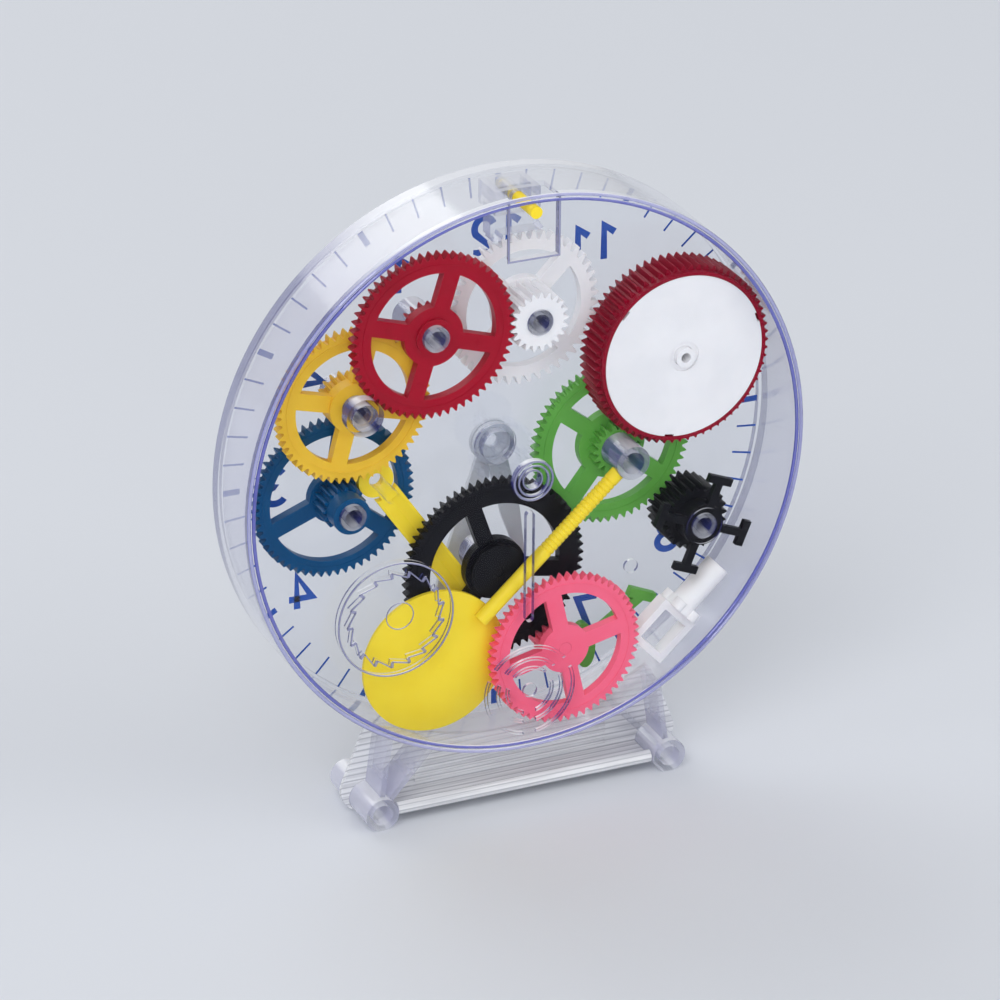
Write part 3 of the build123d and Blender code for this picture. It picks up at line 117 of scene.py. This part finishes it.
class Field:
    """One socket of a material's nodes. Arithmetic on fields adds Math nodes."""

    def __init__(self, tree, socket=None):
        self.tree = tree
        self.socket = socket

    def node(self, kind, settings=None, inputs=None, output=0):
        """Adds a node, sets its settings, then gives its sockets their values or links."""
        made = self.tree.nodes.new(kind)
        for name, value in (settings or {}).items():
            setattr(made, name, value)
        for name, value in (inputs or {}).items():
            if isinstance(value, Field):
                self.tree.links.new(value.socket, made.inputs[name])
            else:
                made.inputs[name].default_value = value
        return Field(self.tree, made.outputs[output] if made.outputs else None)

    def part(self, index):
        """Another output of the node that this field comes from."""
        return Field(self.tree, self.socket.node.outputs[index])

    def math(self, operation, *values):
        return self.node("ShaderNodeMath", {"operation": operation}, dict(enumerate(values)))

    def __add__(self, other):
        return self.math("ADD", self, other)

    def __radd__(self, other):
        return self.math("ADD", other, self)

    def __sub__(self, other):
        return self.math("SUBTRACT", self, other)

    def __rsub__(self, other):
        return self.math("SUBTRACT", other, self)

    def __mul__(self, other):
        return self.math("MULTIPLY", self, other)

    def __rmul__(self, other):
        return self.math("MULTIPLY", other, self)

    def __truediv__(self, other):
        return self.math("DIVIDE", self, other)

    def __pow__(self, other):
        return self.math("POWER", self, other)

    def __abs__(self):
        return self.math("ABSOLUTE", self)

    def step(self, low, high):
        """Rises smoothly from 0 at low to 1 at high."""
        return self.node("ShaderNodeMapRange", {"interpolation_type": "SMOOTHSTEP"},
                         {"Value": self, "From Min": low, "From Max": high})

    def mix(self, first, second):
        """Blends two colours by this field."""
        settings = {"data_type": "RGBA"}
        return self.node("ShaderNodeMix", settings, {0: self, 6: first, 7: second}, 2)


def linear(red, green, blue):
    """A colour given in display values from 0 to 255, as Blender's linear RGBA."""
    value = np.array([red, green, blue]) / 255
    low = value / 12.92
    high = ((value + 0.055) / 1.055) ** 2.4
    return tuple(np.where(value <= 0.04045, low, high)) + (1.0,)


def new_material(name):
    """An empty node material and the field that starts its expressions."""
    material = bpy.data.materials.new(name)
    material.use_nodes = True
    material.node_tree.nodes.clear()
    return material, Field(material.node_tree)


def end_material(material, shader):
    shader.node("ShaderNodeOutputMaterial", inputs={"Surface": shader})
    return material


def object_place(start):
    """The point on the piece, in metres."""
    return start.node("ShaderNodeTexCoord", output=3)


def speckle(start, place, grains, detail=3.0):
    """Noise from 0 to 1 with a number of grains to the metre."""
    return start.node("ShaderNodeTexNoise", inputs={"Vector": place, "Scale": grains, "Detail": detail})


def moulded_plastic(name, colour, shade, roughness=0.3, sheen_depth=0.00004, subsurface=0.06):
    """Opaque moulded plastic: a colour that drifts a little towards a shade, with a finely uneven gloss."""
    material, start = new_material(name)
    place = object_place(start)
    drift = speckle(start, place, DRIFT_GRAINS).step(0.3, 0.75)
    flow = speckle(start, place, FLOW_GRAINS, 2.0).step(0.35, 0.8)
    skin = speckle(start, place, SKIN_GRAINS, 2.0)
    base = (drift * 0.55 + flow * 0.2).mix(colour, shade)
    bump = start.node("ShaderNodeBump", inputs={"Strength": 0.08, "Distance": sheen_depth, "Height": skin})
    shader = start.node("ShaderNodeBsdfPrincipled", inputs={
        "Base Color": base,
        "Roughness": roughness + 0.12 * flow,
        "Normal": bump,
        "Subsurface Weight": subsurface,
        "Subsurface Radius": (0.002, 0.0015, 0.0012),
        "Subsurface Scale": 1.0,
        "Specular IOR Level": 0.14,
    })
    return end_material(material, shader)


def clear_plastic(name, face, wall, graze, tint, wall_tint_and_shade, low=None, roughness=0.06, shine=0.04, hide=None):
    """Clear moulded plastic, more seen in its walls and at grazing angles than on its flat faces.

    face, wall and graze say how much of it shows, and low is how much of a wall shows below the drum.
    shine is the mirror part seen face on. hide gives a place across the clock about which the walls don't show.
    The wall tint, on walls and at grazing angles, is partly the plastic's own tint and partly painted
    refraction shade.
    """
    material, start = new_material(name)
    way = start.node("ShaderNodeSeparateXYZ", inputs={"Vector": start.node("ShaderNodeTexCoord", output=1)})
    outward = abs(way.part(1))
    upward = abs(way.part(2))
    place = object_place(start)
    across = start.node("ShaderNodeSeparateXYZ", inputs={"Vector": place})
    height = across.part(2)
    side = 1.0 - outward.step(0.25, 0.8)
    facing = start.node("ShaderNodeLayerWeight", inputs={"Blend": 0.5}, output=1)
    cloud = speckle(start, place, CLOUD_GRAINS)
    shown = wall
    if low is not None:
        shown = wall + (low - wall) * (1.0 - height.step(*FOOT_TOP))
    if hide:
        apart = abs(across - hide[0]) + abs(height - hide[1])
        shown = wall * apart.step(0.0038, 0.0042)
    graded = facing.step(0.45, 1.0)
    solid = face * (0.7 + 0.6 * cloud) + shown * side + graze * graded
    # Painted highlight: walls that face up or down are painted near-white, as a glint that does not follow the
    # lamps.
    painted_glint = upward.step(0.72, 0.96)
    edge_shade_and_glint = painted_glint.mix(wall_tint_and_shade, linear(244, 245, 250))
    # Painted shade: walls and grazing edges take the wall tint, partly the plastic's own tint and partly
    # painted refraction shade.
    body = start.node("ShaderNodeBsdfPrincipled", inputs={
        "Base Color": start.math("MAXIMUM", side, graded).mix(tint, edge_shade_and_glint),
        "Roughness": roughness + 0.1 * cloud,
        "Specular IOR Level": 0.5,
    })
    clear = start.node("ShaderNodeBsdfTransparent", inputs={"Color": (0.985, 0.988, 0.995, 1.0)})
    gloss = start.node("ShaderNodeBsdfGlossy", inputs={"Color": (1.0, 1.0, 1.0, 1.0), "Roughness": roughness})
    haze = start.math("MINIMUM", solid, 0.92)
    hazed = start.node("ShaderNodeMixShader", inputs={0: haze, 1: clear, 2: body})
    mirror = shine + 0.8 * facing ** 5.0
    shader = start.node("ShaderNodeMixShader", inputs={0: mirror, 1: hazed, 2: gloss})
    return end_material(material, shader)


def spring_steel():
    """Bright rolled steel with a fine uneven grain."""
    material, start = new_material("rolled_steel")
    lines = speckle(start, object_place(start), STRIP_GRAINS)
    shader = start.node("ShaderNodeBsdfPrincipled", inputs={
        "Base Color": lines.mix(linear(120, 122, 126), linear(150, 152, 156)),
        "Metallic": 1.0,
        "Roughness": 0.25 + 0.2 * lines,
    })
    return end_material(material, shader)


def ribbed_plastic():
    """Pale clear plastic in fine level ribs, each with a darker line along it."""
    material, start = new_material("clear_ribbed")
    place = object_place(start)
    height = start.node("ShaderNodeSeparateXYZ", inputs={"Vector": place}, output=2)
    depth = height.part(1)
    rib = start.math("FRACT", (height - 0.75 * depth) / APRON_RIB_PITCH)
    # Painted shade: a darker line along each rib, standing in for the light and shade of the clear ribs.
    painted_rib_shade = 1.0 - abs(rib - 0.5).step(0.06, 0.2)
    drawn = start.node("ShaderNodeMapping", inputs={"Vector": place, "Scale": (0.05, 1.0, 1.0)})
    streak = speckle(start, drawn, STRIP_GRAINS, 2.0).step(0.35, 0.7)
    shade = start.math("MAXIMUM", painted_rib_shade * 0.6, streak * 0.3)
    body = start.node("ShaderNodeBsdfPrincipled", inputs={
        "Base Color": shade.mix(linear(248, 249, 252), linear(128, 130, 142)),
        "Roughness": 0.12 + 0.1 * streak,
        "Specular IOR Level": 0.5,
    })
    clear = start.node("ShaderNodeBsdfTransparent", inputs={"Color": (0.97, 0.975, 0.99, 1.0)})
    shader = start.node("ShaderNodeMixShader", inputs={0: 0.82 + 0.1 * painted_rib_shade, 1: clear, 2: body})
    return end_material(material, shader)


def dress(node_names, material):
    for name in node_names:
        slots = nodes[name].material_slots
        if slots:
            slots[0].material = material
        else:
            nodes[name].data.materials.append(material)


# Clear pieces, whose wall tints are partly their own tint and partly painted refraction shade
PALE = linear(225, 228, 240)
VIOLET = linear(66, 68, 140)
LAVENDER = linear(140, 142, 200)
dress(["drum_case"], clear_plastic(
    "clear_case", face=0.03, wall=0.2, graze=0.2, tint=PALE, wall_tint_and_shade=linear(206, 206, 228), low=0.5,
    roughness=0.1, shine=0.02))
dress(["back_plate"], clear_plastic(
    "clear_back", face=0.002, wall=0.75, graze=0.2, tint=PALE, wall_tint_and_shade=VIOLET, roughness=0.05, shine=0.003,
    hide=HANGER_PEG))
dress(["dial_plate"], clear_plastic(
    "clear_dial", face=0.05, wall=0.5, graze=0.3, tint=linear(205, 210, 222), wall_tint_and_shade=VIOLET, roughness=0.08,
    shine=0.015))
post_names = ["blue_post", "yellow_post", "red_post", "escape_post", "winder_post", "black_post", "green_tube"]
dress(post_names, clear_plastic(
    "clear_post", face=0.12, wall=0.46, graze=0.5, tint=PALE, wall_tint_and_shade=linear(58, 66, 142), roughness=0.04,
    shine=0.05))
dress(["minute_post", "centre_arbor", "minute_wheel", "hour_wheel"], clear_plastic(
    "clear_train", face=0.004, wall=0.012, graze=0.03, tint=PALE, wall_tint_and_shade=LAVENDER, roughness=0.05,
    shine=0.004))
dress(["anchor", "anchor_bracket"], clear_plastic(
    "milky_plastic", face=0.14, wall=0.32, graze=0.35, tint=linear(228, 232, 244),
    wall_tint_and_shade=linear(120, 126, 190)))
dress(["base_apron"], ribbed_plastic())

# Coloured pieces: their nodes, the colour and the shade it drifts towards
COLOURS = {
    "red_plastic": (["red_gear"], (170, 0, 36), (150, 0, 30)),
    "crimson_plastic": (["barrel_drum"], (150, 2, 38), (126, 0, 30)),
    "white_plastic": (["escape_wheel", "barrel_cover", "barrel_arbor", "winding_key"], (246, 245, 246),
                      (234, 234, 236)),
    "yellow_plastic": (["yellow_gear"], (244, 198, 58), (228, 176, 40)),
    "lemon_plastic": (["pendulum_rod", "pendulum_bob", "pendulum_hanger", "anchor_pin"], (255, 228, 60),
                      (246, 214, 44)),
    "blue_plastic": (["blue_gear"], (0, 78, 128), (0, 64, 108)),
    "green_plastic": (["green_gear", "crutch"], (104, 178, 76), (88, 160, 64)),
    "black_plastic": (["black_gear", "winding_pinion"], (9, 9, 18), (5, 5, 10)),
    "pink_plastic": (["pink_gear", "pink_post"], (255, 112, 142), (252, 96, 128)),
    "pale_plastic": (["hour_hand", "minute_hand"], (226, 229, 234), (216, 219, 226)),
}
for plastic, (names, colour, shade) in COLOURS.items():
    dress(names, moulded_plastic("moulded_" + plastic, linear(*colour), linear(*shade)))
dress(["mainspring"], spring_steel())


def arc(centre, radii, start, end, count=24):
    """Points on an ellipse about a centre, from one angle to another in degrees."""
    turn = np.radians(np.linspace(start, end, count))
    return np.array(centre) + np.array(radii) * np.stack([np.cos(turn), np.sin(turn)], axis=1)


def joined(*lines):
    """One line of points from several, end to end."""
    return np.vstack(lines)


# Centre lines of the digits in units of their height, from 0 at the foot to 1 at the head
DIGITS = {
    "0": [arc((0, 0.5), (0.25, 0.42), 90, 450, 48)],
    "1": [joined([(-0.22, 0.72), (0.05, 0.92), (0.05, 0.92), (0.05, 0.08)])],
    "2": [joined(arc((0, 0.66), (0.24, 0.26), 160, -30), [(-0.26, 0.08), (0.27, 0.08)])],
    "3": [joined(arc((-0.02, 0.71), (0.23, 0.21), 150, -80), arc((-0.02, 0.29), (0.26, 0.21), 80, -150))],
    "4": [joined([(0.1, 0.08), (0.1, 0.92), (-0.28, 0.34), (0.3, 0.34)])],
    "5": [joined([(0.24, 0.92), (-0.18, 0.92), (-0.2, 0.56)], arc((-0.02, 0.33), (0.26, 0.25), 130, -150))],
    "6": [joined(arc((0.1, 0.5), (0.34, 0.42), 90, 180), arc((0, 0.3), (0.24, 0.22), 180, 540, 40))],
    "7": [joined([(-0.25, 0.92), (0.26, 0.92), (-0.06, 0.08)])],
    "8": [arc((0, 0.71), (0.2, 0.21), -90, 270, 40), arc((0, 0.29), (0.25, 0.21), 90, 450, 40)],
    "9": [joined(arc((0, 0.7), (0.24, 0.22), 0, 360, 40), arc((-0.1, 0.5), (0.34, 0.42), 0, -90))],
}


def ribbon(line, width, back, front):
    """A flat strip of even width along a line of (x, z) points: the line's two offsets, at two depths.

    Each point moves by half the width along the mean of its neighbours' normals, lengthened at a corner,
    and the four rails joined in order make a closed bar.
    """
    line = np.asarray(line, float)
    keep = np.r_[True, np.hypot(*np.diff(line, axis=0).T) > 1e-9]
    line = line[keep]
    run = np.diff(line, axis=0)
    run /= np.hypot(*run.T)[:, None]
    before = np.vstack([run[:1], run])
    after = np.vstack([run, run[-1:]])
    mean = before + after
    mean /= np.hypot(*mean.T)[:, None]
    stretch = 1 / np.clip((mean * after).sum(1), 0.55, 1)
    side = np.stack([-mean[:, 1], mean[:, 0]], axis=1) * (width / 2 * stretch)[:, None]
    rails = [(line + side, front), (line - side, front), (line - side, back), (line + side, back)]
    count = len(line)
    points = np.stack([np.stack([flat[:, 0], np.full(count, depth), flat[:, 1]], axis=1)
                       for flat, depth in rails], axis=1).reshape(-1, 3)
    ring = np.arange(count - 1)[:, None] * 4 + np.arange(4)
    to_next = np.roll(np.arange(4), -1) - np.arange(4)
    quads = np.stack([ring, ring + to_next, ring + 4 + to_next, ring + 4], axis=2).reshape(-1, 4)
    last = 4 * count
    ends = np.array([[3, 2, 1, 0], [last - 4, last - 3, last - 2, last - 1]])
    return points, np.vstack([quads, ends])


def turned(profile, place, count):
    """A ring turned about an axis along the clock's depth, in millimetres.

    Each point (radius, y) of the closed profile goes round a circle of that radius about the place.
    """
    profile = np.asarray(profile, float) / 1000
    turn = np.linspace(0, 2 * np.pi, count, endpoint=False)
    across = place[0] / 1000 + np.outer(np.cos(turn), profile[:, 0])
    up = CENTRE_HEIGHT + place[1] / 1000 + np.outer(np.sin(turn), profile[:, 0])
    depth = np.broadcast_to(profile[:, 1], across.shape)
    points = np.stack([across, depth, up], axis=2).reshape(-1, 3)
    size = len(profile)
    row, column = np.meshgrid(np.arange(count), np.arange(size), indexing="ij")
    this_row = row * size
    next_row = (row + 1) % count * size
    next_column = (column + 1) % size
    corners = [this_row + column, this_row + next_column, next_row + next_column, next_row + column]
    return points, np.stack(corners, axis=2).reshape(-1, 4)


def band(place, inner, outer, back, front, count=64):
    """A flat ring between two radii and two depths behind the back face, in millimetres."""
    profile = [(inner, -back), (outer, -back), (outer, -front), (inner, -front)]
    return turned([(radius, y + BACK_FACE * 1000) for radius, y in profile], place, count)


def bead(place, radius, thickness, depth, count):
    """A round ring of a thickness, with its middle at a depth behind the back face, in millimetres."""
    turn = np.linspace(0, 2 * np.pi, BEAD_STEPS, endpoint=False)
    reach = radius + thickness * np.cos(turn)
    y = BACK_FACE * 1000 - depth + thickness * np.sin(turn)
    return turned(np.stack([reach, y], axis=1), place, count)


def piece_from(name, parts, material, body):
    """One mesh piece from several lots of points and four-sided faces, on a body."""
    points = np.vstack([p for p, _ in parts])
    starts = np.cumsum([0] + [len(p) for p, _ in parts[:-1]])
    faces = np.vstack([f + s for (_, f), s in zip(parts, starts)])
    mesh = bpy.data.meshes.new(name)
    mesh.from_pydata(points.tolist(), [], faces.tolist())
    mesh.materials.append(material)
    mesh.validate()
    piece = bpy.data.objects.new(name, mesh)
    bpy.context.scene.collection.objects.link(piece)
    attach(piece, body)


# Print on the dial
def numeral(hour):
    """The strips of one hour's number, upright, with its middle at its own place on the dial."""
    middle = np.array(NUMERAL_PLACES[hour]) / 1000 + [0, CENTRE_HEIGHT]
    text = str(hour)
    parts = []
    for index, digit in enumerate(text):
        shift = (index - (len(text) - 1) / 2) * DIGIT_ADVANCE
        for line in DIGITS[digit]:
            placed = middle + (line - [0, 0.5]) * NUMERAL_HEIGHT + [shift, 0]
            parts.append(ribbon(placed, NUMERAL_STROKE, INK_BACK, INK_FRONT))
    return parts


def minute_mark(minute):
    """The strip of one minute, along a ray from the dial's centre, bolder at every fifth."""
    inner, outer, width = MINUTE_MARK if minute % 5 else FIVE_MINUTE_MARK
    turn = np.radians(90 - 6 * minute)
    along = np.array([np.cos(turn), np.sin(turn)])
    ends = np.array([inner, outer])[:, None] * along + [0, CENTRE_HEIGHT]
    return ribbon(ends, width, INK_BACK, INK_FRONT)


ink = moulded_plastic("blue_ink", linear(0, 84, 188), linear(0, 72, 170), 0.45, 0.00001, 0.0)
piece_from("dial_numerals", sum((numeral(hour) for hour in range(1, 13)), []), ink, "case")
piece_from("dial_minute_marks", [minute_mark(minute) for minute in range(60)], ink, "case")

# Rim, ratchet, boss and notch lines of the clear back: beads and strips along its real edges, partly the
# plastic's own tint and partly painted refraction shade, with painted glints on the beads
rim_violet = clear_plastic("clear_rim", 0.75, 0.75, 0.2, linear(96, 100, 190), linear(72, 76, 168))
rim_lavender = clear_plastic("clear_edge", 0.55, 0.55, 0.2, linear(176, 178, 226), linear(150, 152, 214))
# Painted shade: the ratchet, boss and notch lines are dark violet strips along edges that are otherwise clear.
edge_shade_line = clear_plastic("clear_line", 0.62, 0.62, 0.2, linear(150, 152, 190), linear(58, 60, 116))
piece_from("back_rim_line", [bead(*RIM_BEAD)], rim_violet, "case")
piece_from("back_edge_line", [bead(*EDGE_BEAD)], rim_lavender, "case")

tooth_turn = 2 * np.pi * np.arange(RATCHET_TEETH) / RATCHET_TEETH
tooth_way = np.stack([np.cos(tooth_turn), np.sin(tooth_turn)], axis=1)
roots = RATCHET_PLACE + RATCHET_ROOT * tooth_way
tips = RATCHET_PLACE + RATCHET_TIP * tooth_way
next_roots = np.roll(roots, -1, axis=0)
edge_shade_strips = [ribbon(ends, TOOTH_STEP_WIDTH, LINE_TOP, LINE_FOOT) for ends in np.stack([roots, tips], axis=1)]
edge_shade_strips += [ribbon(ends, TOOTH_SLOPE_WIDTH, LINE_TOP, LINE_FOOT)
               for ends in np.stack([tips, next_roots], axis=1)]
edge_shade_strips += [bead(*ring) for ring in RATCHET_BEADS + BOSS_BEADS]
notch = [(-NOTCH_HALF_WIDTH, NOTCH_HIGH), (-NOTCH_HALF_WIDTH, NOTCH_LOW),
         (NOTCH_HALF_WIDTH, NOTCH_LOW), (NOTCH_HALF_WIDTH, NOTCH_HIGH)]
edge_shade_strips.append(ribbon(notch, NOTCH_LINE_WIDTH, LINE_TOP, LINE_FOOT))
piece_from("back_edge_shade_lines", edge_shade_strips, edge_shade_line, "case")

# Thin moulded rings inside the gears' teeth, and small round marks on the red spokes
for node, (body, place, radius, depth) in GEAR_RINGS.items():
    parts = [band(place, radius, radius + RING_WIDTH, depth + RING_SINK, depth - RING_RISE)]
    if body == "red":
        for spoke in range(RED_SPOKES):
            turn = np.radians(RED_SPOKE_TURN + 360 / RED_SPOKES * spoke)
            spot = np.array(place) + SPOKE_MARK_REACH * np.array([np.cos(turn), np.sin(turn)])
            parts.append(band(spot, *SPOKE_MARK_RADII, depth + RING_SINK, depth - SPOKE_MARK_RISE, 24))
    piece_from(body + "_moulded_ring", parts, nodes[node].data.materials[0], body)

# Floor
FLOOR_HALF = 12.0
corners = np.array([(-1, -1, 0), (1, -1, 0), (1, 1, 0), (-1, 1, 0)]) * FLOOR_HALF
floor_mesh = bpy.data.meshes.new("floor")
floor_mesh.from_pydata(corners.tolist(), [], [(0, 1, 2, 3)])
floor = bpy.data.objects.new("floor", floor_mesh)
bpy.context.scene.collection.objects.link(floor)
paper, paper_start = new_material("pale_floor")
paper_shader = paper_start.node("ShaderNodeBsdfPrincipled", inputs={
    "Base Color": linear(214, 217, 223), "Roughness": 0.7, "Specular IOR Level": 0.2})
floor_mesh.materials.append(end_material(paper, paper_shader))

# Camera
CAMERA_PLACE = (0.5414, 1.1926, 0.71773)
CAMERA_TURN = (64.478, -0.425, 155.931)
camera_data = bpy.data.cameras.new("camera")
camera_data.lens = 180.0
camera_data.sensor_width = 36.0
camera = bpy.data.objects.new("camera", camera_data)
camera.location = CAMERA_PLACE
camera.rotation_euler = np.radians(CAMERA_TURN)
bpy.context.scene.collection.objects.link(camera)
bpy.context.scene.camera = camera


def lamp(name, place, size, power):
    """A square soft light at a place, turned to shine at the clock's middle."""
    data = bpy.data.lights.new(name, "AREA")
    data.size = size
    data.energy = power
    light = bpy.data.objects.new(name, data)
    light.location = place
    way = Vector(CLOCK_MIDDLE) - Vector(place)
    light.rotation_euler = way.to_track_quat("-Z", "Y").to_euler()
    bpy.context.scene.collection.objects.link(light)


# Lamps and world
CLOCK_MIDDLE = (0, 0, 0.1)
lamp("key", (1.6, 1.8, 2.5), 2.0, 46.0)
lamp("fill", (-2.1, 1.6, 1.5), 2.0, 19.0)
lamp("low", (1.0, 2.7, 0.8), 1.0, 11.0)
lamp("front", (0.5, -2.3, 2.1), 2.0, 26.0)
world = bpy.data.worlds.new("studio")
world.use_nodes = True
background = world.node_tree.nodes["Background"]
background.inputs["Color"].default_value = (0.95, 0.97, 1.0, 1.0)
background.inputs["Strength"].default_value = 0.5
bpy.context.scene.world = world
bpy.context.scene.view_settings.view_transform = "Standard"
bpy.context.scene.cycles.transparent_max_bounces = 48
